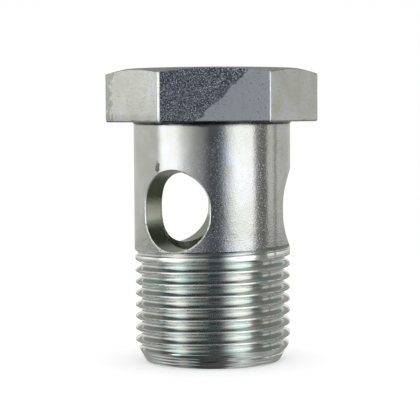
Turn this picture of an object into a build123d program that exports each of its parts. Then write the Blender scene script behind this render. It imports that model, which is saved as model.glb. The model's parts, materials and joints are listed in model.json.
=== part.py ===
from build123d import *
from math import ceil, cos, radians, tan
import os

# Hollow banjo bolt, turned and threaded in one piece, in millimetres.
# The origin is the centre of the threaded end and +Z runs up the bolt to the hexagon head.
# One port and one corner of the hexagon face +X.

# Head
seat_height = 41.2           # threaded end to the underside of the head
head_height = 9.05
across_flats = 31.9
corner_break = 0.25          # chamfer on the upright corners and the lower edge
top_face_inset = 0.8         # flats to the rim of the round top face
top_chamfer_angle = 15.0     # measured from the top face

# Shank
shank_diameter = 27.0
seat_chamfer = 0.45          # under the head

# Thread, right hand, M27 x 2
thread_nominal = 27.0
thread_diameter = 26.8       # over the blunted crests
thread_pitch = 2.0
thread_length = 19.4         # threaded end to the shoulder of the shank
thread_angle = 60.0
root_depth_ratio = 0.57      # flat root under the nominal diameter, in pitches
runout_turns = 1.45          # the groove grows shallow over this many turns
runout_overrun = 0.7         # and dies out this far above the shoulder
full_depth_angle = -90.0     # where the full depth ends, turned from +X
end_chamfer_angle = 30.0     # measured from the axis
end_below_root = 0.8         # rim of the end face inside the root of the thread

# Passage, a flat-bottomed bore and its radial ports
bore_diameter = 18.7
bore_past_ports = 2.6        # wall above the ports
port_count = 3
port_width = 12.0
port_extra_height = 1.1      # the ports are this much taller than wide
port_land = 0.4              # shoulder of the shank to the lower lip of a port
port_edge_break = 0.35

# Sizes that follow from the ones above
top_height = seat_height + head_height
shank_radius = shank_diameter / 2
thread_radius = thread_diameter / 2
root_radius = thread_nominal / 2 - root_depth_ratio * thread_pitch
groove_depth = thread_radius - root_radius
end_radius = root_radius - end_below_root
bore_radius = bore_diameter / 2
port_height = port_width + port_extra_height
port_centre_height = thread_length + port_land + port_height / 2
bore_depth = port_centre_height + port_height / 2 + bore_past_ports


def make_shank():
    """Turned outline: end chamfer, blank of the thread, shoulder and shank."""
    chamfer_length = (thread_radius - end_radius) / tan(radians(end_chamfer_angle))
    shoulder_rise = abs(shank_radius - thread_radius)
    outline = Polyline(
        (0, 0),
        (end_radius, 0),
        (thread_radius, chamfer_length),
        (thread_radius, thread_length - shoulder_rise),
        (shank_radius, thread_length),
        (shank_radius, seat_height),
        (0, seat_height),
        close=True,
    )
    turned = revolve(Plane.XZ * make_face(outline), Axis.Z)
    return Rot(0, 0, 180) * turned    # its seam lies between two ports


def make_head():
    """Hexagon with broken edges, and the chamfer turned on its top."""
    hexagon = RegularPolygon(across_flats / 2, 6, major_radius=False)
    head = extrude(Plane.XY.offset(seat_height) * hexagon, head_height)
    head = chamfer(head.edges().filter_by(Axis.Z), corner_break)
    head = chamfer(head.faces().sort_by(Axis.Z)[0].edges(), corner_break)
    rim_radius = across_flats / 2 - top_face_inset
    outer_radius = across_flats / 2 / cos(radians(30)) + 1
    chamfer_drop = (outer_radius - rim_radius) * tan(radians(top_chamfer_angle))
    envelope = Polyline(
        (0, seat_height),
        (outer_radius, seat_height),
        (outer_radius, top_height - chamfer_drop),
        (rim_radius, top_height),
        (0, top_height),
        close=True,
    )
    return head & revolve(Plane.XZ * make_face(envelope), Axis.Z)


def make_port():
    """Radial port that faces +X, cut from the axis outwards."""
    outline = SlotCenterToCenter(port_extra_height, port_width)
    side = Plane(origin=(0, 0, port_centre_height), x_dir=(0, 0, 1), z_dir=(1, 0, 0))
    return extrude(side * outline, shank_radius + 1)


def make_groove_section():
    """Thread groove where a plane through the axis cuts it, open past the crests."""
    flank_slope = tan(radians(thread_angle / 2))
    nominal_half = thread_pitch * 7 / 16
    root_half = nominal_half - root_depth_ratio * thread_pitch * flank_slope
    flank_rise = groove_depth + thread_pitch / 16
    mouth_half = root_half + flank_rise * flank_slope
    open_rise = 2 * groove_depth
    outline = Polyline(
        (root_radius, -root_half),
        (root_radius + flank_rise, -mouth_half),
        (root_radius + open_rise, -mouth_half),
        (root_radius + open_rise, mouth_half),
        (root_radius + flank_rise, mouth_half),
        (root_radius, root_half),
        close=True,
    )
    return Plane.XZ * make_face(outline)


def make_groove(turns, start_lift, end_lift):
    """Stretch of groove whose root lies start_lift, then end_lift, above full depth."""
    section = make_groove_section()
    rise = turns * thread_pitch
    start = Pos(start_lift, 0, 0) * section
    end = Rot(0, 0, 360 * turns) * Pos(end_lift, 0, rise) * section
    path = Helix(thread_pitch, rise, root_radius + start_lift)
    return sweep([start, end], path, multisection=True, is_frenet=True)


def cut_thread(bolt):
    """Cut the full turns down past the end, then the run-out up past the shoulder."""
    full_top = thread_length + runout_overrun - runout_turns * thread_pitch
    full_turn = make_groove(1, 0, 0)
    for turn in range(1, ceil(full_top / thread_pitch) + 2):
        place = Pos(0, 0, full_top - turn * thread_pitch) * Rot(0, 0, full_depth_angle)
        bolt -= place * full_turn
    fade = groove_depth + max(shank_radius - thread_radius, 0) + 0.05
    steps = ceil(runout_turns / 0.75)
    step_turns = runout_turns / steps
    for step in range(steps):
        turned = step * step_turns
        groove = make_groove(step_turns, fade * step / steps, fade * (step + 1) / steps)
        place = Pos(0, 0, full_top + turned * thread_pitch)
        bolt -= place * Rot(0, 0, full_depth_angle + 360 * turned) * groove
    return bolt


def is_port_rim(edge):
    """True for an edge where a port breaks out through the shank."""
    middle = edge @ 0.5
    from_axis = Vector(middle.X, middle.Y, 0).length
    beside_port = abs(middle.Z - port_centre_height) < port_height / 2 + 0.01
    return beside_port and abs(from_axis - shank_radius) < 0.01


def is_seat_corner(edge):
    """True for the corner between the shank and the underside of the head."""
    if edge.geom_type != GeomType.CIRCLE or abs((edge @ 0).Z - seat_height) > 0.01:
        return False
    return abs(edge.radius - shank_radius) < 0.01


def make_bolt():
    bolt = make_shank() + make_head()
    bolt = chamfer(bolt.edges().filter_by(is_seat_corner), seat_chamfer)
    bolt -= PolarLocations(0, port_count) * make_port()
    bolt = chamfer(bolt.edges().filter_by(is_port_rim), port_edge_break)
    bolt -= extrude(Circle(bore_radius), bore_depth)
    return cut_thread(bolt)


os.makedirs("parts", exist_ok=True)
export_step(make_bolt(), "parts/banjo_bolt.step")
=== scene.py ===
import json
import math

import bmesh
import bpy
import numpy as np
from mathutils import Matrix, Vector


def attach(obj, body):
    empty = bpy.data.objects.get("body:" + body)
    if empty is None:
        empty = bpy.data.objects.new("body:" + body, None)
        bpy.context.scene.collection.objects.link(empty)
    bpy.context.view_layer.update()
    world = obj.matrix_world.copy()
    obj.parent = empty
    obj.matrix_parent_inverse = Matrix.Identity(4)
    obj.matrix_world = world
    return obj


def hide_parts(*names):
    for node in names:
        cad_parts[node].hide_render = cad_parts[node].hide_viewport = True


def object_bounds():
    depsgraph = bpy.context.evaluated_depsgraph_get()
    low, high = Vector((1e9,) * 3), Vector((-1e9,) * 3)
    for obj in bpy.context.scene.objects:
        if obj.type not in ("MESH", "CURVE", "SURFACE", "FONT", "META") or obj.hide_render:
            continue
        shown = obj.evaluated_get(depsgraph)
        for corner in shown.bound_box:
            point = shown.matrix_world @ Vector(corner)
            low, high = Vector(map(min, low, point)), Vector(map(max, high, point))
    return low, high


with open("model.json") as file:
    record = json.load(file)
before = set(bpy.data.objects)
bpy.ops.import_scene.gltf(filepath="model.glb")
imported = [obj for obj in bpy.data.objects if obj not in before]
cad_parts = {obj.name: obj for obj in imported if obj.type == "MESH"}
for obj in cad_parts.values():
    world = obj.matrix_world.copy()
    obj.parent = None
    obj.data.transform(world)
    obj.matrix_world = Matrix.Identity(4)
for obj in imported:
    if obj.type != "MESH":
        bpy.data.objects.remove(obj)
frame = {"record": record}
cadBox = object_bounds()
mounts = {mount["name"]: mount for mount in frame["record"]["mounts"]}
print("frame loaded")

mm = 0.001


def toLinear(hexColour):
    # sRGB hex value as the linear colour that a shader socket takes
    parts = [int(hexColour[i:i + 2], 16) / 255 for i in (1, 3, 5)]
    return [p / 12.92 if p <= 0.04045 else ((p + 0.055) / 1.055) ** 2.4 for p in parts] + [1.0]


def setInputs(tree, node, inputs):
    # each input takes a value, a node or one output of a node
    for name, value in inputs.items():
        if isinstance(value, bpy.types.Node):
            value = next(output for output in value.outputs if output.enabled)
        if isinstance(value, bpy.types.NodeSocket):
            tree.links.new(value, node.inputs[name])
        else:
            node.inputs[name].default_value = value


def addNode(tree, kind, inputs=(), **settings):
    # inputs come by name or in their order; stops are the positions and colours of a ramp
    node = tree.nodes.new(kind)
    stops = settings.pop("stops", ())
    for _ in stops[2:]:
        node.color_ramp.elements.new(0.5)
    for k, (position, colour) in enumerate(stops):
        node.color_ramp.elements[k].position = position
        node.color_ramp.elements[k].color = colour
    for name, value in settings.items():
        setattr(node, name, value)
    setInputs(tree, node, inputs if isinstance(inputs, dict) else dict(enumerate(inputs)))
    return node


# the bolt, in millimetres: heights above its threaded end, then radii
bolt = {
    "top": cadBox[1][2] / mm,
    "seat": mounts["seat"]["pos_m"][2] / mm,
    "shoulder": mounts["thread"]["dims"]["length_mm"],
    "shoulderRise": 0.12,
    "boreEnd": mounts["passage"]["dims"]["length_mm"],
    "flats": cadBox[1][1] / mm,
    "corner": 18.29,             # to the top of a worn corner
    "shank": mounts["banjo_shank"]["dims"]["r_mm"],
    "crest": mounts["thread"]["dims"]["r_mm"],
    "bore": mounts["passage"]["dims"]["r_mm"],
    "boreBreak": 0.2,
    # head
    "headTurn": 0.45,            # degrees from +X; it sits slightly turned on the shank
    "topInset": 0.8,             # flats to the rim of the round top face
    "topSlope": 15.0,            # degrees from flat
    "topEdge": 0.14,             # rounding where the top chamfer meets the sides
    "edgeBreak": 0.25,
    "seatHollow": 0.45,          # fillet under the head
    "dent": 0.025,               # depth of the knocks on the corners
    "chip": 0.05,                # and along the upper edge
    "burr": 0.04,                # and along the lower edge
    "cornerKept": (0.0, 0.02, 0.0, 0.0, 0.0, 0.07),    # how much less worn each corner is
    "cornerRubAndHighlight": (0.8, 0.7, 0.9, 0.8, 1.0, 0.4),       # how bright each corner is rubbed, with a painted highlight along it
    "cornerRubAndHighlightWidth": 0.2,
    # thread, M27 x 2, right hand
    "nominal": 13.5,
    "pitch": 2.0,
    "flank": 30.0,               # degrees from square to the axis
    "rootRound": 0.2887,         # the standard 0.144 of the pitch
    "crestRound": 0.07,
    "crestRubAndHighlightWidth": 0.09,
    "crestsFrom": 2.6,           # height of the first full crest
    "endRim": 11.56,             # of the flat end face
    "endSlope": 30.0,            # degrees from the axis
    "grooveHeight": 17.7,        # of its middle at +X, a quarter turn past fadeFrom
    "grooveStarts": 1.05,
    "grooveEnds": 1.15,          # above the shoulder
    "fadeFrom": -90.0,           # degrees from +X; from here on the groove grows shallow
    "fadeTurns": 1.45,
    "fadeLift": 1.22,            # rise of its root over those turns
    # mesh
    "meshTurns": 12,             # from one turn above grooveHeight to below the end
    "gapColumns": 30,            # between two corners
    "shankStep": 0.9,
    "boreRows": 36,
    "soft": 0.02,                # rounding where two surfaces meet
}
bolt["topRim"] = bolt["flats"] - bolt["topInset"]

flankSlope = math.tan(math.radians(bolt["flank"]))
grooveApex = bolt["nominal"] - bolt["pitch"] * 7 / 16 / flankSlope
rootCentre = grooveApex + 2 * bolt["rootRound"]
tooFar = 99                      # stands for a surface that isn't there


def knocks(along, seed, wave):
    # smooth noise from 0 to 1 along an edge, the same on each run
    slow = np.sin(along * 2.1 / wave + seed * 1.7) + np.sin(along * 4.7 / wave + seed * 4.1)
    quick = np.sin(along * 9.3 / wave + seed * 2.9) + np.sin(along * 17.9 / wave + seed * 0.7)
    return np.clip(0.5 + 0.18 * slow + 0.14 * quick, 0, 1)


def columnAngles():
    # degrees around the bolt, close together at the six corners
    atCorner = [-1.6, -1.1, -0.8, -0.62, -0.4, 0.0, 0.4, 0.62, 0.8, 1.1, 1.6]
    between = np.linspace(atCorner[-1], 60 + atCorner[0], bolt["gapColumns"] + 1)[1:-1]
    angles = []
    for k in range(6):
        angles += [60 * k + bolt["headTurn"] + step for step in atCorner + list(between)]
    angles = [angle % 360 for angle in angles] + [0.0, 360.0]
    return np.array(sorted(set(round(angle, 6) for angle in angles)))


def softMin(values, width):
    # lowest of several surfaces, rounded where they meet
    stack = np.array(values)
    low = stack.min(0)
    return low - width * np.log(np.exp(-(stack - low) / width).sum(0))


def hexRadius(angle, height):
    # distance from the axis to the side of the head, its corners knocked flat each in its own way
    surfaces = []
    for k in range(6):
        turn = np.radians(angle - bolt["headTurn"] - 60 * k)
        knocked = bolt["dent"] * knocks(height + 11 * k, k + 1, 2.2)
        atCorner = bolt["corner"] + bolt["cornerKept"][k] - knocked
        for distance, cosine in ((atCorner, np.cos(turn)), (bolt["flats"], np.cos(turn - math.pi / 6))):
            surfaces.append(np.where(cosine > 0.5, distance / np.maximum(cosine, 0.5), tooFar))
    return softMin(surfaces, bolt["soft"])


def turnedRadius(height):
    # end chamfer, blank of the thread and shoulder, as turned before the groove is cut
    cone = bolt["endRim"] + height * math.tan(math.radians(bolt["endSlope"]))
    step = np.clip((height - bolt["shoulder"]) / bolt["shoulderRise"] + 1, 0, 1)
    straight = bolt["crest"] + (bolt["shank"] - bolt["crest"]) * step
    return softMin([cone, straight], bolt["soft"])


def grooveLift(turned):
    # how far the root has risen where the groove runs out
    share = (turned - bolt["fadeFrom"]) / (360 * bolt["fadeTurns"])
    return np.clip(share, 0, None) * bolt["fadeLift"]


def grooveHalf(lift, outside):
    # half the groove's width where it opens at the outside radius
    depth = outside - lift
    below = np.clip(rootCentre - depth, 0, None)
    inRound = np.sqrt(np.clip(bolt["rootRound"] ** 2 - below ** 2, 0, None))
    inRound = np.where(depth > rootCentre - bolt["rootRound"], inRound, 0.0)
    return np.where(depth > rootCentre - bolt["rootRound"] / 2, (depth - grooveApex) * flankSlope, inRound)


def grooveRadius(offset, lift):
    # radius of the groove's surface at an offset up or down from its middle
    away = np.abs(offset)
    tangent = bolt["rootRound"] * math.cos(math.radians(bolt["flank"]))
    inRound = np.sqrt(np.clip(bolt["rootRound"] ** 2 - np.minimum(away, tangent) ** 2, 0, None))
    return lift + np.where(away < tangent, rootCentre - inRound, grooveApex + away / flankSlope)


def grooveTurn(height, angle):
    # the nearest turn of the groove, and the offset up or down from its middle
    turn = np.round((height - bolt["grooveHeight"]) / bolt["pitch"] - angle / 360)
    return turn, height - bolt["grooveHeight"] - bolt["pitch"] * (angle / 360 + turn)


def threadRadius(height, angle):
    # lowest of the turned outline and the nearest grooves, rounded at the crests, less near the shank
    nearest, offset = grooveTurn(height, angle)
    crestSoft = bolt["crestRound"] * np.clip((bolt["shoulder"] + 0.6 - height) / 0.5, 0.15, 1)
    surfaces = [turnedRadius(height) + 0.2 * crestSoft]
    for step in (-1, 0, 1):
        lift = grooveLift(angle + 360 * (nearest + step))
        groove = grooveRadius(offset - bolt["pitch"] * step, lift)
        surfaces.append(np.where(lift < 5, groove, tooFar))
    return np.minimum(softMin(surfaces, crestSoft), turnedRadius(height))


def threadRows(angles):
    # rows climb with the helix; those past the ends of the thread fall together
    onFlank = [1.0, 0.92, 0.83, 0.66, 0.46, 0.31, 0.22, 0.1]
    shares = onFlank + [0.0] + [-share for share in reversed(onFlank)]
    rows = []
    for turn in range(1, 1 - bolt["meshTurns"], -1):
        middle = bolt["grooveHeight"] + bolt["pitch"] * (angles / 360 + turn)
        half = grooveHalf(grooveLift(angles + 360 * turn), bolt["crest"])
        crest = bolt["pitch"] / 2 - half
        offsets = [half + share * crest for share in (1.0, 0.66, 0.33)]
        offsets += [half * share for share in shares]
        offsets += [-half - share * crest for share in (0.33, 0.66)]
        for offset in offsets:
            height = np.clip(middle + offset, bolt["grooveStarts"], bolt["shoulder"] + bolt["grooveEnds"])
            rows.append((height, threadRadius(height, angles)))
    return rows


def headRows(angles):
    # top face, its chamfer and rounded edge, the sides, the lower edge and the fillet under the head;
    # rows lie close together where an edge is crisp
    top, rim, seat, soft = bolt["top"], bolt["topRim"], bolt["seat"], bolt["topEdge"]
    rows = [(top, share * rim) for share in (0.0, 0.2, 0.45, 0.7, 0.9, 0.985)]
    rows.append((top - 0.01, rim + 0.02))
    slope = math.tan(math.radians(bolt["topSlope"]))
    side = hexRadius(angles, top - 0.6)
    chip = bolt["chip"] * knocks(angles % 360 * 0.3, 3, 1.0)
    for share in (0.25, 0.5, 0.75):
        reach = (side - soft - rim) * share
        rows.append((top - 0.005 - reach * slope, rim + reach))
    edge = top - (side - rim) * slope - chip
    rows.append((edge + soft * slope + chip / 2, side - soft))
    rows += [(edge + 0.005, side - soft / 4), (edge - 0.05, side - 0.004)]
    bottom = seat + bolt["edgeBreak"]
    for share in np.linspace(0.03, 0.98, 8):
        height = edge - 0.1 + (bottom + 0.13 - edge) * share
        rows.append((height, hexRadius(angles, height)))
    side = hexRadius(angles, seat + 0.5)
    burr = bolt["burr"] * knocks(angles % 360 * 0.35, 5, 1.0)
    for share in (0.08, 0.5, 0.92):
        rows.append((bottom - share * bolt["edgeBreak"], side - share ** 1.4 * bolt["edgeBreak"] - burr))
    rows.append((seat, side - bolt["edgeBreak"] - 0.05 - burr))
    hollow = bolt["seatHollow"]
    hollowRim = bolt["shank"] + hollow
    rows += [(seat, side - 0.35 + (hollowRim - side + 0.35) * share) for share in (0.3, 0.65, 0.92)]
    for turn in np.radians((0, 18, 36, 54, 72, 90)):
        rows.append((seat - hollow * (1 - math.cos(turn)), hollowRim - hollow * math.sin(turn)))
    return rows


def shankRows():
    first = bolt["seat"] - bolt["seatHollow"]
    last = bolt["shoulder"] + bolt["grooveEnds"]
    steps = int((first - last) / bolt["shankStep"])
    return [(first + (last - first) * k / steps, bolt["shank"]) for k in range(1, steps)]


def endRows():
    # end chamfer below the thread, end face, bore and its flat bottom
    rim, bore, mouth = bolt["endRim"], bolt["bore"], bolt["bore"] + bolt["boreBreak"]
    rows = [(height, turnedRadius(np.array([height]))[0]) for height in (0.8, 0.5, 0.25, 0.1)]
    rows += [(0.03, rim - 0.01), (0.0, rim - 0.06)]
    rows += [(0.0, rim + (mouth - rim) * share) for share in (0.3, 0.6, 0.9, 1.0)]
    rows.append((bolt["boreBreak"], bore))
    rows += [(height, bore) for height in np.linspace(0.6, bolt["boreEnd"] - 0.3, bolt["boreRows"])]
    return rows + [(bolt["boreEnd"], share * bore) for share in (1.0, 0.8, 0.5, 0.25, 0.0)]


def gridMesh(name, points):
    # mesh through a grid of points, with doubled points merged
    rows, columns = points.shape[:2]
    index = np.arange(rows * columns).reshape(rows, columns)
    faces = np.stack([index[:-1, :-1], index[1:, :-1], index[1:, 1:], index[:-1, 1:]], -1).reshape(-1, 4)
    mesh = bpy.data.meshes.new(name)
    mesh.from_pydata((points.reshape(-1, 3) * mm).tolist(), [], faces.tolist())
    work = bmesh.new()
    work.from_mesh(mesh)
    bmesh.ops.remove_doubles(work, verts=work.verts, dist=0.002 * mm)
    bmesh.ops.dissolve_degenerate(work, dist=0.001 * mm, edges=work.edges)
    bmesh.ops.recalc_face_normals(work, faces=work.faces)
    work.to_mesh(mesh)
    work.free()
    return mesh


def makeBody():
    # rows of points from the middle of the top face, down the outside and up the bore
    angles = columnAngles()
    rows = headRows(angles) + shankRows() + threadRows(angles) + endRows()
    heights = np.array([height + 0 * angles for height, _ in rows])
    radii = np.array([radius + 0 * angles for _, radius in rows])
    turn = np.radians(angles)
    points = np.stack([radii * np.cos(turn), radii * np.sin(turn), heights], -1)
    piece = bpy.data.objects.new("boltBody", gridMesh("boltBody", points))
    bpy.context.scene.collection.objects.link(piece)
    return piece


body = makeBody()
print("body turned and threaded:", len(body.data.vertices), "points")


# radial ports, oblong, in millimetres
port = {
    "count": 3,
    "height": 26.35,
    "halfWidth": 5.97,
    "stretch": 0.51,             # half the straight part, so the port is taller than wide
    "turn": -0.5,                # degrees from +X
    "flare": 0.23,               # how far the wall opens towards the rim
    "lipWidth": 0.2,
    "lipDepth": 0.1,
    "innerBreak": 0.01,
    "cutFrom": 5.2,              # distances from the axis
    "cutTo": 16.0,
    "points": 112,
}


def cutterRing(offset, radius=None, ahead=None):
    # outline of a port, laid on a cylinder around the bolt's axis or flat at a distance from it
    turn = np.linspace(0, 2 * math.pi, port["points"], endpoint=False)
    wide = port["halfWidth"] + offset
    side = wide * np.cos(turn)
    up = wide * np.sin(turn) + (port["stretch"] + 0.3 * offset) * np.tanh(np.sin(turn) * 12)
    forward = np.full_like(side, ahead) if ahead else np.sqrt(radius ** 2 - side ** 2)
    return np.stack([forward, side, up], -1)


def cutterPoints():
    # from inside the bore out past the shank
    bore, shank, inner, flare = bolt["bore"], bolt["shank"], port["innerBreak"], port["flare"]
    lip, wide = shank - port["lipDepth"], flare + port["lipWidth"]
    rings = [cutterRing(inner, ahead=port["cutFrom"])]
    rings += [cutterRing(inner + 0.15, bore - 0.15), cutterRing(inner, bore)]
    rings += [cutterRing(inner * 0.25, bore + inner * 0.7), cutterRing(0, bore + 0.25)]
    for share in np.linspace(0.15, 0.95, 9):
        rings.append(cutterRing(flare * share, bore + (lip - bore) * share))
    rings += [cutterRing(flare, lip), cutterRing(wide, shank), cutterRing(wide + 0.3, shank + 0.15)]
    rings.append(cutterRing(wide + 0.3, ahead=port["cutTo"]))
    inTip, outTip = [np.repeat([[port[end], 0, 0]], port["points"], 0) for end in ("cutFrom", "cutTo")]
    points = np.array([inTip] + rings + [outTip])
    points = np.concatenate([points, points[:, :1]], 1)
    points[..., 2] += port["height"]
    return points


def makePortCutter():
    cutter = bpy.data.objects.new("portCutter", gridMesh("portCutter", cutterPoints()))
    whole = bmesh.new()
    for k in range(port["count"]):
        turned = cutter.data.copy()
        turn = 2 * math.pi * k / port["count"] + math.radians(port["turn"])
        turned.transform(Matrix.Rotation(turn, 4, "Z"))
        whole.from_mesh(turned)
    whole.to_mesh(cutter.data)
    whole.free()
    bpy.context.scene.collection.objects.link(cutter)
    return cutter


def cutPorts():
    # cuts the ports and counts the edges that it leaves open
    cutter = makePortCutter()
    cut = body.modifiers.new("ports", "BOOLEAN")
    cut.object = cutter
    cut.solver = "EXACT"
    bpy.context.view_layer.update()
    shaped = bpy.data.meshes.new_from_object(body.evaluated_get(bpy.context.evaluated_depsgraph_get()))
    body.modifiers.clear()
    body.data = shaped
    bpy.data.objects.remove(cutter)
    work = bmesh.new()
    work.from_mesh(body.data)
    bmesh.ops.remove_doubles(work, verts=work.verts, dist=0.003 * mm)
    bmesh.ops.dissolve_degenerate(work, dist=0.002 * mm, edges=work.edges)
    openEdges = sum(1 for edge in work.edges if not edge.is_manifold)
    work.to_mesh(body.data)
    work.free()
    return openEdges


print("ports cut, open edges:", cutPorts(), "faces:", len(body.data.polygons))


def spotsOf(items, name):
    # places or directions of vertices or faces, with their radius and angle about the axis
    flat = np.zeros(len(items) * 3, np.float32)
    items.foreach_get(name, flat)
    x, y, z = (flat.reshape(-1, 3) / mm).T
    return x, y, z, np.hypot(x, y), np.degrees(np.arctan2(y, x)) % 360


def outsidePort(x, y, z):
    # distance outside the nearest port's outline
    nearest = np.full_like(x, tooFar)
    for k in range(port["count"]):
        turn = math.radians(360 / port["count"] * k + port["turn"])
        ahead = x * math.cos(turn) + y * math.sin(turn)
        side = y * math.cos(turn) - x * math.sin(turn)
        beyond = np.clip(np.abs(z - port["height"]) - port["stretch"], 0, None)
        outside = np.hypot(side, beyond) - port["halfWidth"]
        nearest = np.minimum(nearest, np.where(ahead > 0, outside, tooFar))
    return nearest


def rubbedAndHighlitPoints():
    # how bright the upright corners of the head and the crests of the thread are: rubbed by handling, with
    # a painted highlight along them
    _, _, z, radius, angle = spotsOf(body.data.vertices, "co")
    onHead = (z > bolt["seat"] - 0.01) & (radius > bolt["flats"] - 0.45)
    fromCorner = np.radians(np.abs((angle - bolt["headTurn"] + 30) % 60 - 30)) * radius
    atCorner = onHead * np.exp(-(fromCorner / bolt["cornerRubAndHighlightWidth"]) ** 4)
    corner = np.round((angle - bolt["headTurn"]) / 60).astype(int) % 6
    turn, offset = grooveTurn(z, angle)
    half = grooveHalf(grooveLift(angle + 360 * turn), bolt["crest"])
    onCrest = (z < bolt["shoulder"]) & (z > bolt["crestsFrom"]) & (half > 0.5)
    onCrest &= radius > bolt["crest"] - 0.12
    fromCrest = bolt["pitch"] / 2 - np.abs(offset)
    atCrest = onCrest * np.exp(-(fromCrest / bolt["crestRubAndHighlightWidth"]) ** 2)
    # painted glint, broken along the crests
    glint = 0.35 + 0.65 * knocks((angle + 360 * turn) * 0.24, 2, 1.0) ** 2
    return np.maximum(atCorner * np.array(bolt["cornerRubAndHighlight"])[corner], atCrest * glint)


def portFaces():
    # faces of the ports' lips, how bright each is rubbed and painted with a highlight, most on the lower
    # half, and inner faces
    x, y, z, radius, _ = spotsOf(body.data.polygons, "center")
    nx, ny, _, _, _ = spotsOf(body.data.polygons, "normal")
    outward = (nx * x + ny * y) * mm / radius
    onShank = (z > bolt["shoulder"]) & (z < bolt["seat"] - 1)
    atPort = onShank & (outsidePort(x, y, z) < port["flare"] + 0.6) & (outward < 0.97)
    lip = atPort & (outward > 0.2) & (radius > bolt["shank"] - 0.9 * port["lipDepth"])
    # painted highlight with the rubbing on the lips, brighter on their lower half
    lipRubAndHighlight = 1.4 * lip * np.clip((port["height"] + 3.5 - z) / 4, 0.15, 1)
    inBore = (radius < bolt["bore"] + 0.05) & (z < bolt["boreEnd"] + 0.1)
    return lip, lipRubAndHighlight, (atPort & ~lip) | inBore


def markSurfaces():
    # attributes that the material reads; smooth faces apart from real edges and the lips' borders
    mesh = body.data
    lip, lipRubAndHighlight, inner = portFaces()
    sides = np.zeros(len(mesh.polygons), np.int32)
    mesh.polygons.foreach_get("loop_total", sides)
    pointOf = np.zeros(len(mesh.loops), np.int32)
    mesh.loops.foreach_get("vertex_index", pointOf)
    rubAndHighlight = np.maximum(rubbedAndHighlitPoints()[pointOf], np.repeat(lipRubAndHighlight, sides))
    for name, values in (("edgeRubAndHighlight", rubAndHighlight), ("innerWall", np.repeat(inner, sides))):
        layer = mesh.attributes.new(name, "FLOAT", "CORNER")
        layer.data.foreach_set("value", np.ascontiguousarray(values, np.float32))
    mesh.polygons.foreach_set("use_smooth", [True] * len(mesh.polygons))
    mesh.set_sharp_from_angle(angle=math.radians(24))
    edgeOf = np.zeros(len(mesh.loops), np.int32)
    mesh.loops.foreach_get("edge_index", edgeOf)
    kinds = np.repeat(2 * lip + inner, sides)
    lowest, highest = np.full(len(mesh.edges), 9), np.full(len(mesh.edges), -1)
    np.minimum.at(lowest, edgeOf, kinds)
    np.maximum.at(highest, edgeOf, kinds)
    sharp = np.zeros(len(mesh.edges), bool)
    mesh.edges.foreach_get("use_edge_sharp", sharp)
    mesh.edges.foreach_set("use_edge_sharp", sharp | (lowest != highest))


markSurfaces()
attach(body, "root")
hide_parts("banjo_bolt")
print("edges and walls marked")


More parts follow.
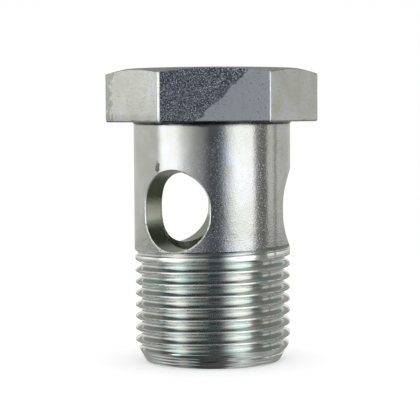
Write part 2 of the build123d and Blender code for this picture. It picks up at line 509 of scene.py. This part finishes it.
# zinc-plated steel, clear passivated: a grey mirror broken up by fine plating grains, with a faint
# green and blue film, bare grains and edges rubbed bright, and painted light and shade: highlights along
# corners, crests and port lips, glints in the grains, a sheen on a patch and shade on the front of the
# head, shade under the head and lighter shades on the thread; sizes in millimetres
zinc = {
    # shades of the film by their place in its pattern: greenish, plain, bluish
    "filmShades": ((0.36, "#A9ABA5"), (0.5, "#AFB0AD"), (0.66, "#B4B6BC")),
    # and on the thread: teal, grey, straw, rose, lighter than the film elsewhere as painted light against
    # the shade in its grooves
    "threadShadesLightened": ((0.37, "#D2DDDA"), (0.47, "#D8DDDA"), (0.57, "#DCDFD8"), (0.66, "#DCDBDA")),
    "speckledAndShaded": "#A1A3AA",       # front of the head: its grains, darker as painted shade
    "fleckedAndGlinting": "#EDF2FC",        # bare grains
    "bareAndSheen": "#E9EDF5",           # worn patch on the head, lighter as a painted sheen
    "passage": "#BDC1B2",        # thin olive film inside the ports and the bore
    "darkerCorner": "#83867E",        # the head's corner toward -X, darker past a ragged line
    "stain": "#40453E",
    "paintedShadeUnderHead": "#3C3E3D",        # painted shade in the crease under the head
    # rubbed edges, with a painted highlight along corners, crests and the ports' lips
    "rubbedAndHighlit": "#E6E7E4",
    # how much of each shows
    "bareAndSheenAmount": 0.9,
    "passageAmount": 0.8,
    "darkerCornerAmount": 0.75,
    # roughness
    "grainRoughness": 0.09,
    "smoothRoughness": 0.1,
    "dullRoughness": 0.42,       # rubbed patch on the head
    "innerRoughness": 0.27,
    "fleckRoughness": 0.5,
    "rubbedAndHighlitRoughness": 0.38,
    # patterns: size, detail, roughness, distortion
    "patterns": {
        "grains": (0.26, 2.0, 0.6, 0.0),     # real ones are finer than shows, so drawn coarser
        "flecks": (0.17, 1.5, 0.6, 0.6),     # bare grains, drawn coarser too
        "waves": (3.6, 2.5, 0.5, 0.0),       # unevenness left by turning and handling
        "film": (5.0, 3.0, 0.55, 0.0),       # patches of colour
        "threadFilm": (2.6, 2.0, 0.5, 0.0),
        "border": (2.6, 5.0, 0.7, 0.0),      # ragged border of the rubbed patch
        "beads": (0.5, 1.0, 0.5, 0.0),       # breaks in the rubbed edges and their painted highlight
        "scuffs": (1.6, 3.0, 0.6, 0.0),
    },
    "ring": 0.55,                # turning rings on the end chamfer, drawn coarser than the real feed
    "grainHeight": 0.014,
    "waveHeight": 0.042,
    "ringHeight": 0.05,
    # places
    "grainyShadedToward": (0.16, -0.987, 0.0),     # direction of the side that keeps its grains, where painted shade and glints go
    "grainyShadedEdge": (0.76, 0.86),              # cosines to it between which they come in
    "patchSlope": 1.03,          # border of the rubbed patch, sideways per height
    "patchHead": 44.5,           # height at which it crosses the middle of the head's side
    "patchShank": 39.2,          # the same for the smooth upper left of the shank
    "patchWobble": 1.6,
    "darkerCornerFrom": -17.1,        # sideways from the axis
    "darkerCornerWobble": 3.5,
    "stainAt": (-9.3, -9.8, 33.7),
    "stainSize": 1.05,
    "stainSqueeze": (1.6, 1.6, 1.0),         # makes it upright
    "stainWobble": 0.6,
    "ringsUpTo": 2.3,            # height
    # where bare grains begin in their pattern: higher means fewer
    "fleckLevel": 0.59,
    "fleckLevelOnHead": 0.52,
    "fleckLess": 0.11,           # in the rubbed patch
    # how much of the grain is gone
    "goneInPatch": 0.3,
    "goneOnShank": 0.95,
    "goneOnThread": 0.8,
}


def zincPatterns(tree, place):
    # textures at their sizes in millimetres; a wave texture repeats every pi / 10 at a scale of 1
    patterns = {}
    for name, (size, detail, roughness, distortion) in zinc["patterns"].items():
        patterns[name] = addNode(tree, "ShaderNodeTexNoise", {
            "Vector": place, "Scale": 1 / (size * mm), "Detail": detail, "Roughness": roughness,
            "Distortion": distortion})
    rings = addNode(tree, "ShaderNodeTexWave", {
        "Vector": place, "Scale": math.pi / 10 / (zinc["ring"] * mm), "Distortion": 1.2, "Detail": 2.0,
        "Detail Scale": 0.6}, bands_direction="Z")
    patterns["rings"] = rings.outputs["Fac"]
    return patterns


def zincRegions(tree, normal, x, z, patterns):
    # which part of the bolt, each 0 to 1
    toward = addNode(tree, "ShaderNodeVectorMath", (normal, zinc["grainyShadedToward"]), operation="DOT_PRODUCT")
    facing = addNode(tree, "ShaderNodeMapRange", (toward, *zinc["grainyShadedEdge"]))
    onHead = addNode(tree, "ShaderNodeMath", (z, (bolt["seat"] - 0.2) * mm), operation="GREATER_THAN")
    offHead = addNode(tree, "ShaderNodeMath", (1.0, onHead), operation="SUBTRACT")
    onFront = addNode(tree, "ShaderNodeMath", (onHead, facing), operation="MULTIPLY")
    onThread = addNode(tree, "ShaderNodeMapRange", (
        z, (bolt["shoulder"] + 0.4) * mm, (bolt["shoulder"] - 0.2) * mm))
    aboveRim = addNode(tree, "ShaderNodeMapRange", (z, 0.1 * mm, 0.3 * mm))
    belowCrests = addNode(tree, "ShaderNodeMapRange", (
        z, zinc["ringsUpTo"] * mm, (zinc["ringsUpTo"] - 0.6) * mm))
    onEnd = addNode(tree, "ShaderNodeMath", (aboveRim, belowCrests), operation="MULTIPLY")
    # a slanting, ragged border: the head is rubbed dull below it and the shank smooth above it
    slant = addNode(tree, "ShaderNodeMath", (x, zinc["patchSlope"]), operation="DIVIDE")
    slant = addNode(tree, "ShaderNodeMath", (slant, z), operation="SUBTRACT")
    reach = zinc["patchWobble"] * mm
    ragged = addNode(tree, "ShaderNodeMapRange", (patterns["border"], 0.0, 1.0, -reach, reach))
    slant = addNode(tree, "ShaderNodeMath", (slant, ragged), operation="ADD")
    below = addNode(tree, "ShaderNodeMapRange", (
        slant, -zinc["patchHead"] * mm, (0.5 - zinc["patchHead"]) * mm))
    dull = addNode(tree, "ShaderNodeMath", (onFront, below), operation="MULTIPLY")
    pits = addNode(tree, "ShaderNodeMapRange", (patterns["flecks"], 0.3, 0.37, 0.25, 1.0))
    dull = addNode(tree, "ShaderNodeMath", (dull, pits), operation="MULTIPLY")
    above = addNode(tree, "ShaderNodeMapRange", (
        slant, (1.2 - zinc["patchShank"]) * mm, (-1.2 - zinc["patchShank"]) * mm))
    smooth = addNode(tree, "ShaderNodeMath", (offHead, above), operation="MULTIPLY")
    return {"facing": facing, "onHead": onHead, "onFront": onFront, "onThread": onThread, "onEnd": onEnd,
            "dull": dull, "smooth": smooth}


def zincGrains(tree, inner, regions, patterns):
    # how grainy the plating is, and where a grain is bare
    plain = inner
    for name, amount in (("dull", "goneInPatch"), ("smooth", "goneOnShank"), ("onThread", "goneOnThread")):
        gone = addNode(tree, "ShaderNodeMath", (regions[name], zinc[amount]), operation="MULTIPLY")
        plain = addNode(tree, "ShaderNodeMath", (plain, gone), operation="MAXIMUM")
    grainy = addNode(tree, "ShaderNodeMath", (1.0, plain), operation="SUBTRACT")
    level = addNode(tree, "ShaderNodeMapRange", (
        regions["onFront"], 0.0, 1.0, zinc["fleckLevel"], zinc["fleckLevelOnHead"]))
    less = addNode(tree, "ShaderNodeMath", (regions["dull"], zinc["fleckLess"]), operation="MULTIPLY")
    level = addNode(tree, "ShaderNodeMath", (level, less), operation="ADD")
    past = addNode(tree, "ShaderNodeMath", (patterns["flecks"], level), operation="SUBTRACT")
    fleck = addNode(tree, "ShaderNodeMapRange", (past, 0.0, 0.08))
    fleck = addNode(tree, "ShaderNodeMath", (fleck, grainy), operation="MULTIPLY")
    return grainy, fleck


def zincWear(tree, place, x, z, onHead, patterns):
    # the head's corner toward -X darker, a stain beside a port and painted shade in the crease under the
    # head
    # the head darker past a ragged line near its corner toward -X
    reach = zinc["darkerCornerWobble"] * mm
    ragged = addNode(tree, "ShaderNodeMapRange", (patterns["scuffs"], 0.0, 1.0, -reach, reach))
    sideways = addNode(tree, "ShaderNodeMath", (x, ragged), operation="ADD")
    darkerCorner = addNode(tree, "ShaderNodeMapRange", (
        sideways, zinc["darkerCornerFrom"] * mm, (zinc["darkerCornerFrom"] - 0.15) * mm, 0.0, zinc["darkerCornerAmount"]))
    darkerCorner = addNode(tree, "ShaderNodeMath", (onHead, darkerCorner), operation="MULTIPLY")

    middle = [part * mm for part in zinc["stainAt"]]
    away = addNode(tree, "ShaderNodeVectorMath", (place, middle), operation="SUBTRACT")
    away = addNode(tree, "ShaderNodeVectorMath", (away, zinc["stainSqueeze"]), operation="MULTIPLY")
    away = addNode(tree, "ShaderNodeVectorMath", (away,), operation="LENGTH")
    reach = zinc["stainWobble"] * mm
    ragged = addNode(tree, "ShaderNodeMapRange", (patterns["beads"], 0.0, 1.0, -reach, reach))
    away = addNode(tree, "ShaderNodeMath", (away, ragged), operation="ADD")
    stained = addNode(tree, "ShaderNodeMapRange", (
        away, zinc["stainSize"] * mm, (zinc["stainSize"] - 0.5) * mm))
    specks = addNode(tree, "ShaderNodeMapRange", (patterns["grains"], 0.4, 0.52, 0.45, 0.95))
    stained = addNode(tree, "ShaderNodeMath", (stained, specks), operation="MULTIPLY")

    # painted shade: a patchy dark band just under the head
    seat = bolt["seat"]
    nearSeat = addNode(tree, "ShaderNodeMapRange", (z, (seat - 0.62) * mm, (seat - 0.3) * mm))
    belowSeat = addNode(tree, "ShaderNodeMapRange", (z, (seat + 0.05) * mm, (seat + 0.01) * mm))
    shadeUnderHead = addNode(tree, "ShaderNodeMath", (nearSeat, belowSeat), operation="MULTIPLY")
    patchy = addNode(tree, "ShaderNodeMapRange", (patterns["scuffs"], 0.3, 0.5, 0.55, 0.95))
    shadeUnderHead = addNode(tree, "ShaderNodeMath", (shadeUnderHead, patchy), operation="MULTIPLY")
    return {"darkerCorner": darkerCorner, "stain": stained, "paintedShadeUnderHead": shadeUnderHead}


def zincPlatedSteel():
    material = bpy.data.materials.new("zincPlatedSteel")
    material.use_nodes = True
    tree = material.node_tree
    coordinates = addNode(tree, "ShaderNodeTexCoord").outputs
    place = coordinates["Object"]
    x, _, z = addNode(tree, "ShaderNodeSeparateXYZ", (place,)).outputs
    rubAndHighlight = addNode(tree, "ShaderNodeAttribute", attribute_name="edgeRubAndHighlight").outputs["Fac"]
    inner = addNode(tree, "ShaderNodeAttribute", attribute_name="innerWall").outputs["Fac"]
    patterns = zincPatterns(tree, place)
    regions = zincRegions(tree, coordinates["Normal"], x, z, patterns)
    grainy, fleck = zincGrains(tree, inner, regions, patterns)
    wear = zincWear(tree, place, x, z, regions["onHead"], patterns)
    # painted highlight with the rubbing along edges, broken into beads
    beads = addNode(tree, "ShaderNodeMapRange", (patterns["beads"], 0.36, 0.52))
    rubbedAndHighlit = addNode(tree, "ShaderNodeMath", (rubAndHighlight, beads), operation="MULTIPLY")

    # the film's colour, then what lies over it: marks, wear and painted light and shade
    colour = addNode(tree, "ShaderNodeValToRGB", (patterns["film"],), stops=[
        (position, toLinear(shade)) for position, shade in zinc["filmShades"]])
    threadFilm = addNode(tree, "ShaderNodeValToRGB", (patterns["threadFilm"],), stops=[
        (position, toLinear(shade)) for position, shade in zinc["threadShadesLightened"]])
    # bare grains on the side facing the front, lightened to painted glints
    fleckedAndGlinting = addNode(tree, "ShaderNodeMath", (fleck, regions["facing"]), operation="MULTIPLY")
    # painted sheen with the wear on the patch on the head's front
    bareAndSheen = addNode(tree, "ShaderNodeMath", (regions["dull"], zinc["bareAndSheenAmount"]), operation="MULTIPLY")
    passage = addNode(tree, "ShaderNodeMath", (inner, zinc["passageAmount"]), operation="MULTIPLY")
    # a mix node's inputs 0, 6 and 7 are its factor and its two colours
    # the thread takes its lighter shades: painted light against the shade in its grooves
    colour = addNode(tree, "ShaderNodeMix", {
        0: regions["onThread"], 6: colour, 7: threadFilm}, data_type="RGBA")
    # the front of the head darkened as painted shade, its bare grains lightened to painted glints, its
    # worn patch to a painted sheen
    layers = [("speckledAndShaded", regions["onFront"]), ("fleckedAndGlinting", fleckedAndGlinting), ("bareAndSheen", bareAndSheen), ("passage", passage)]
    for name, amount in layers + [*wear.items(), ("rubbedAndHighlit", rubbedAndHighlit)]:
        colour = addNode(tree, "ShaderNodeMix", {
            0: amount, 6: colour, 7: toLinear(zinc[name])}, data_type="RGBA")

    rough = zinc["grainRoughness"]
    for name, amount in (("smooth", regions["smooth"]), ("dull", regions["dull"]), ("inner", inner),
                         ("fleck", fleck), ("rubbedAndHighlit", rubbedAndHighlit)):
        rough = addNode(tree, "ShaderNodeMapRange", (amount, 0.0, 1.0, rough, zinc[name + "Roughness"]))

    # waves, calmer on the thread, then grains, then turning rings
    calm = addNode(tree, "ShaderNodeMapRange", (regions["onThread"], 0.0, 1.0, 1.0, 0.3))
    normal = addNode(tree, "ShaderNodeBump", {
        "Strength": calm, "Distance": zinc["waveHeight"] * mm, "Height": patterns["waves"]})
    normal = addNode(tree, "ShaderNodeBump", {
        "Strength": grainy, "Distance": zinc["grainHeight"] * mm, "Height": patterns["grains"],
        "Normal": normal})
    normal = addNode(tree, "ShaderNodeBump", {
        "Strength": regions["onEnd"], "Distance": zinc["ringHeight"] * mm, "Height": patterns["rings"],
        "Normal": normal})
    setInputs(tree, tree.nodes["Principled BSDF"], {
        "Metallic": 1.0, "Base Color": colour, "Roughness": rough, "Normal": normal})
    return material


body.data.materials.clear()
body.data.materials.append(zincPlatedSteel())
print("material made")


# a white room with a paper floor, in metres
studio = {
    "floorSize": 0.4,
    "floorGap": 0.00002,         # below the end of the bolt
    "paper": "#F8F8F8",
    "paperGlow": 0.24,           # only to the camera, so that the floor fades into the white room
}

# a light tent, which only reflections see: lit panels on both sides, dark openings in front and right
tent = {
    "radius": 0.6,
    "low": -3.0,
    "high": 3.0,
    "sides": 72,
    "front": -91.2,              # degrees from +X
    # heights over which one band gives way to the next
    "belowWalls": (-0.026, -0.038),
    "belowSkirt": (-0.3, -0.6),
    "aboveWalls": (0.036, 0.041),
    "dimUp": (0.08, 0.14),
    "dimAbove": 0.4,             # what is left of the light there
    "dimDown": (-1.9, -2.9),
    "dimBelow": 0.18,
    # its bands, each by degrees from the front, brightness (the room has 1) and warmth, left side first;
    # this one is level with the bolt
    "walls": [
        (-180, 0.6, 0.02), (-125, 0.96, 0.02), (-87, 0.96, 0.02),          # pale cloth behind
        (-77, 2.13, 0.0), (-54, 2.13, 0.0),                                # left panel
        (-39, 1.2, 0.0), (-25, 0.63, 0.0), (-12, 0.38, -0.02),             # its falling edge
        (-4, 0.17, -0.08), (8, 0.17, -0.1), (15, 0.37, -0.08),             # front opening
        (25, 1.4, -0.02), (34, 2.13, -0.01), (60, 2.13, 0.0),              # right panel
        (67, 0.55, 0.02), (75, 0.26, 0.04), (86, 0.27, 0.03),              # right opening
        (88, 0.96, 0.02), (101.5, 0.96, 0.02),                             # pale strip
        (103, 0.3, 0.02), (106, 0.3, 0.02),                                # gap
        (107.5, 0.96, 0.02), (120, 0.85, 0.02), (145, 0.72, 0.02), (180, 0.7, 0.02)],
    # below that, seen by the flanks of the thread
    "skirt": [
        (-180, 0.31, 0.0), (-140, 0.38, 0.01), (-118, 0.34, 0.0), (-104, 0.31, 0.0),
        (-92, 0.14, -0.01), (-78, 0.09, -0.02),
        (-67, 0.5, -0.02), (-60, 1.12, -0.01), (-49, 0.95, -0.02), (-40, 0.24, -0.03),
        (-29, 0.1, -0.02), (-15, 0.08, -0.02), (0, 0.11, -0.03), (12, 0.13, -0.03),
        (20, 0.28, -0.02), (30, 0.75, 0.0), (40, 1.42, 0.0), (53, 1.42, 0.0), (63, 0.56, 0.0),
        (72, 0.22, 0.02), (92, 0.23, 0.02), (112, 0.28, 0.02), (135, 0.34, 0.02), (180, 0.31, 0.02)],
    # far below, as a table around the bolt would be
    "ground": [
        (-180, 0.75, 0.01), (-139, 0.8, 0.01), (-112, 0.39, 0.01), (-99, 0.28, 0.01), (-86, 0.2, 0.0),
        (-75, 0.1, -0.02), (-62, 0.07, -0.03), (-35, 0.06, -0.03), (0, 0.08, -0.03), (28, 0.08, -0.03),
        (42, 0.14, -0.02), (56, 0.56, -0.01), (68, 0.88, 0.0), (80, 0.7, 0.0), (94, 0.4, 0.0),
        (106, 0.35, 0.01), (119, 0.45, 0.01), (132, 0.6, 0.01), (180, 0.7, 0.01)],
    # above, times the walls
    "ceiling": [
        (-180, 1.3, 0.0), (-145, 1.3, 0.0), (-128, 1.0, 0.0), (-121, 1.4, 0.0), (-104, 1.4, 0.0),
        (-96, 1.0, 0.0), (-12, 1.0, 0.0), (-5, 0.667, -0.05), (9, 0.667, -0.05), (16, 1.0, 0.0),
        (113, 1.1, 0.0), (119, 0.933, 0.0), (132, 0.933, 0.0), (148, 1.3, 0.0), (180, 1.3, 0.0)],
}


def makeWorld():
    world = bpy.data.worlds.new("studio")
    bpy.context.scene.world = world
    world.use_nodes = True
    background = world.node_tree.nodes["Background"]
    setInputs(world.node_tree, background, {"Color": (1, 1, 1, 1), "Strength": 1.0})


def stageMesh(name, points, faces, material):
    mesh = bpy.data.meshes.new(name)
    mesh.from_pydata(points, [], faces)
    mesh.materials.append(material)
    piece = bpy.data.objects.new(name, mesh)
    bpy.context.scene.collection.objects.link(piece)
    return piece


def mattPaper():
    # white backdrop paper: pale and without gloss, so it shows the bolt's soft shadow and nothing else
    material = bpy.data.materials.new("mattPaper")
    material.use_nodes = True
    tree = material.node_tree
    seen = addNode(tree, "ShaderNodeLightPath").outputs["Is Camera Ray"]
    glow = addNode(tree, "ShaderNodeMath", (seen, studio["paperGlow"]), operation="MULTIPLY")
    setInputs(tree, tree.nodes["Principled BSDF"], {
        "Base Color": toLinear(studio["paper"]), "Roughness": 1.0, "Specular IOR Level": 0.0,
        "Emission Color": (1, 1, 1, 1), "Emission Strength": glow})
    return material


def makeFloor():
    half = studio["floorSize"] / 2
    low = cadBox[0][2] - studio["floorGap"]
    points = [(-half, -half, low), (half, -half, low), (half, half, low), (-half, half, low)]
    floor = stageMesh("floor", points, [(0, 1, 2, 3)], mattPaper())
    floor.visible_glossy = False


def tentCloth():
    # thin white cloth lit from outside: it glows, band by band, and each runs softly into the next
    material = bpy.data.materials.new("tentCloth")
    material.use_nodes = True
    tree = material.node_tree
    tree.nodes.clear()
    place = addNode(tree, "ShaderNodeTexCoord").outputs["Object"]
    turned = addNode(tree, "ShaderNodeMapping", {
        "Vector": place, "Rotation": (0, 0, math.radians(-tent["front"]))})
    around = addNode(tree, "ShaderNodeTexGradient", (turned,), gradient_type="RADIAL").outputs["Fac"]
    _, _, rise = addNode(tree, "ShaderNodeSeparateXYZ", (place,)).outputs
    glow = {}
    for name in ("walls", "skirt", "ground", "ceiling"):
        glow[name] = addNode(tree, "ShaderNodeValToRGB", (around,), stops=[
            (angle / 360 + 0.5, (level * (1 + warmth), level * 1.01, level * (1 - 1.6 * warmth), 1))
            for angle, level, warmth in tent[name]])
    light = glow["walls"]
    for name, heights, blend in (("skirt", "belowWalls", "MIX"), ("ground", "belowSkirt", "MIX"),
                                 ("ceiling", "aboveWalls", "MULTIPLY")):
        there = addNode(tree, "ShaderNodeMapRange", (rise, *tent[heights]))
        light = addNode(tree, "ShaderNodeMix", {0: there, 6: light, 7: glow[name]}, data_type="RGBA",
                        blend_type=blend)
    above = addNode(tree, "ShaderNodeMapRange", (rise, *tent["dimUp"], 1.0, tent["dimAbove"]))
    below = addNode(tree, "ShaderNodeMapRange", (rise, *tent["dimDown"], 1.0, tent["dimBelow"]))
    strength = addNode(tree, "ShaderNodeMath", (above, below), operation="MULTIPLY")
    emission = addNode(tree, "ShaderNodeEmission", {"Color": light, "Strength": strength})
    addNode(tree, "ShaderNodeOutputMaterial", {"Surface": emission})
    return material


def makeTent():
    # an upright drum, closed below
    count = tent["sides"]
    points, faces = [], []
    for k in range(count):
        turn = 2 * math.pi * k / count
        x, y = tent["radius"] * math.cos(turn), tent["radius"] * math.sin(turn)
        points += [(x, y, tent["low"]), (x, y, tent["high"])]
        after = (k + 1) % count
        faces.append((2 * k, 2 * after, 2 * after + 1, 2 * k + 1))
    faces.append(tuple(range(0, 2 * count, 2)))
    drum = stageMesh("lightTent", points, faces, tentCloth())
    drum.visible_camera = False
    drum.visible_diffuse = False
    drum.visible_shadow = False
    drum.visible_transmission = False


makeWorld()
makeFloor()
makeTent()
print("studio lit")


# looks nearly level at the bolt from a hand's reach, in metres and degrees
view = {
    "around": -91.2,             # from +X
    "away": 0.2731,
    "height": 0.04236,
    "down": 3.44,
    "yaw": 0.086,
    "roll": 0.349,
    "sensor": 36,                # millimetres, as the lens
    "lens": 135.343,
    "clipStart": 0.01,
}


def makeCamera():
    camera = bpy.data.objects.new("camera", bpy.data.cameras.new("camera"))
    camera.data.lens = view["lens"]
    camera.data.sensor_width = view["sensor"]
    camera.data.clip_start = view["clipStart"]
    around = math.radians(view["around"])
    x, y = view["away"] * math.cos(around), view["away"] * math.sin(around)
    spot = Matrix.Translation((x, y, view["height"]))
    turn = Matrix.Rotation(around + math.pi / 2 + math.radians(view["yaw"]), 4, "Z")
    tilt = Matrix.Rotation(math.pi / 2 - math.radians(view["down"]), 4, "X")
    roll = Matrix.Rotation(-math.radians(view["roll"]), 4, "Z")
    camera.matrix_world = spot @ turn @ tilt @ roll
    bpy.context.scene.collection.objects.link(camera)
    bpy.context.scene.camera = camera


makeCamera()
bpy.context.scene.view_settings.view_transform = "Standard"
